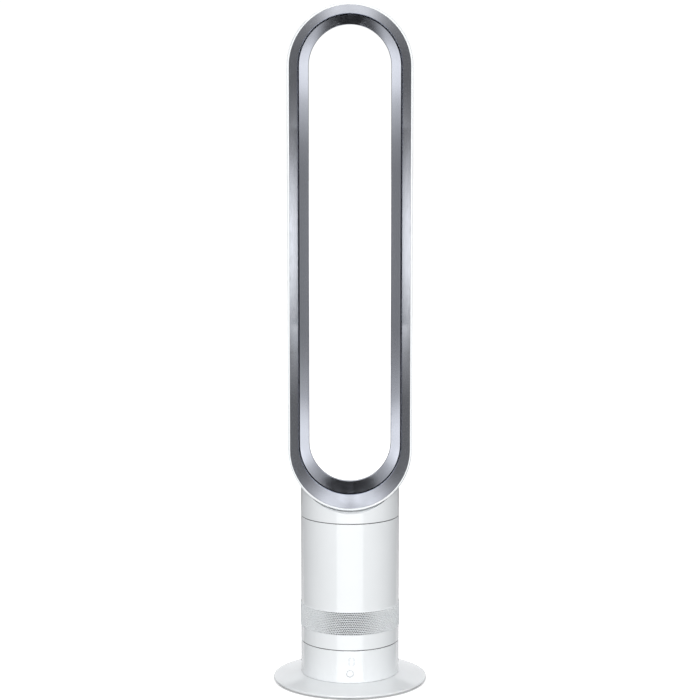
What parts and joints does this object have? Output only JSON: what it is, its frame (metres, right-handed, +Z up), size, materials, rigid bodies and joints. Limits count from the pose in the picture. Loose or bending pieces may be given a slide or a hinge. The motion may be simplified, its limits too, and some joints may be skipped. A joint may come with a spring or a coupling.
{
  "type": "tower fan",
  "caption": "Free-standing bladeless tower fan: tall hollow loop outlet on a round column that turns on a wide foot disc, with a perforated inlet band and a front push button.",
  "frame": {"origin": "centre of the foot disc at the floor, on the column's axis", "axes": "+Z up along the column, front of the fan towards -Y"},
  "size_m": [0.2292, 0.2292, 1.007],
  "materials": {
    "white_plastic": "gloss white moulded plastic",
    "silver_lacquer": "satin silver metallic lacquer",
    "black_rubber": "matt black rubber",
    "steel": "zinc-plated steel",
    "dark_plastic": "matt dark moulded plastic",
    "circuit_board": "green solder mask",
    "grey_foam": "open-cell foam",
    "motor_iron": "laminated core steel",
    "natural_acetal": "natural acetal"
  },
  "bodies": {
    "base": {"base_plate": "white_plastic", "base_weight": "steel", "foot_pads": "black_rubber", "base_screws": "steel", "base_housing": "white_plastic", "base_deck": "dark_plastic", "deck_screws": "steel", "control_board": "circuit_board", "button_switch": "dark_plastic", "led_display": "dark_plastic", "remote_receiver": "dark_plastic", "terminal_block": "natural_acetal", "cord_gland": "black_rubber", "oscillation_motor": "motor_iron", "oscillation_motor_screws": "steel", "thrust_ring": "natural_acetal", "dust_wiper": "black_rubber", "retaining_ring": "steel"},
    "button": {"power_button": "white_plastic"},
    "pinion": {"drive_shaft": "steel", "drive_pinion": "natural_acetal"},
    "column": {"turntable": "white_plastic", "ring_gear": "natural_acetal", "gear_screws": "steel", "intake_foam": "grey_foam", "inlet_grille": "white_plastic", "inlet_mesh": "dark_plastic", "body_shell": "white_plastic", "impeller_housing": "dark_plastic", "inlet_bellmouth": "dark_plastic", "housing_seal": "black_rubber", "housing_mounts": "black_rubber", "motor_stator": "motor_iron", "shaft_bearings": "steel", "motor_bucket": "dark_plastic", "motor_bucket_cap": "dark_plastic", "motor_isolators": "black_rubber", "diffuser_vanes": "dark_plastic", "outlet_foam": "grey_foam", "loop_collar": "white_plastic", "collar_seal": "black_rubber", "loop_gasket": "black_rubber", "loop_casing": "white_plastic", "loop_inner_duct": "silver_lacquer", "loop_front_trim": "silver_lacquer", "collar_screws": "steel", "slot_spacers": "dark_plastic"},
    "rotor": {"impeller": "dark_plastic", "impeller_nut": "steel", "motor_shaft": "steel", "motor_rotor": "motor_iron"}
  },
  "joints": [
    {"name": "oscillation", "type": "hinge", "parent": "base", "child": "column", "pos_m": [0, 0, 0.0624], "axis": [0, 0, 1], "range_deg": [-35, 35]},
    {"name": "pinion_turn", "type": "hinge", "parent": "base", "child": "pinion", "pos_m": [0, 0.045, 0.0614], "axis": [0, 0, 1], "range_deg": [-140, 140]},
    {"name": "impeller_spin", "type": "hinge", "parent": "column", "child": "rotor", "pos_m": [0, 0, 0.15], "axis": [0, 0, 1], "continuous": true},
    {"name": "power_press", "type": "slide", "parent": "base", "child": "button", "axis": [0, 1, 0], "range_m": [0, 0.001], "stiffness_N_per_m": 500}
  ],
  "couplings": [
    {"joint": "pinion_turn", "follows": "oscillation", "ratio": -4}
  ]
}
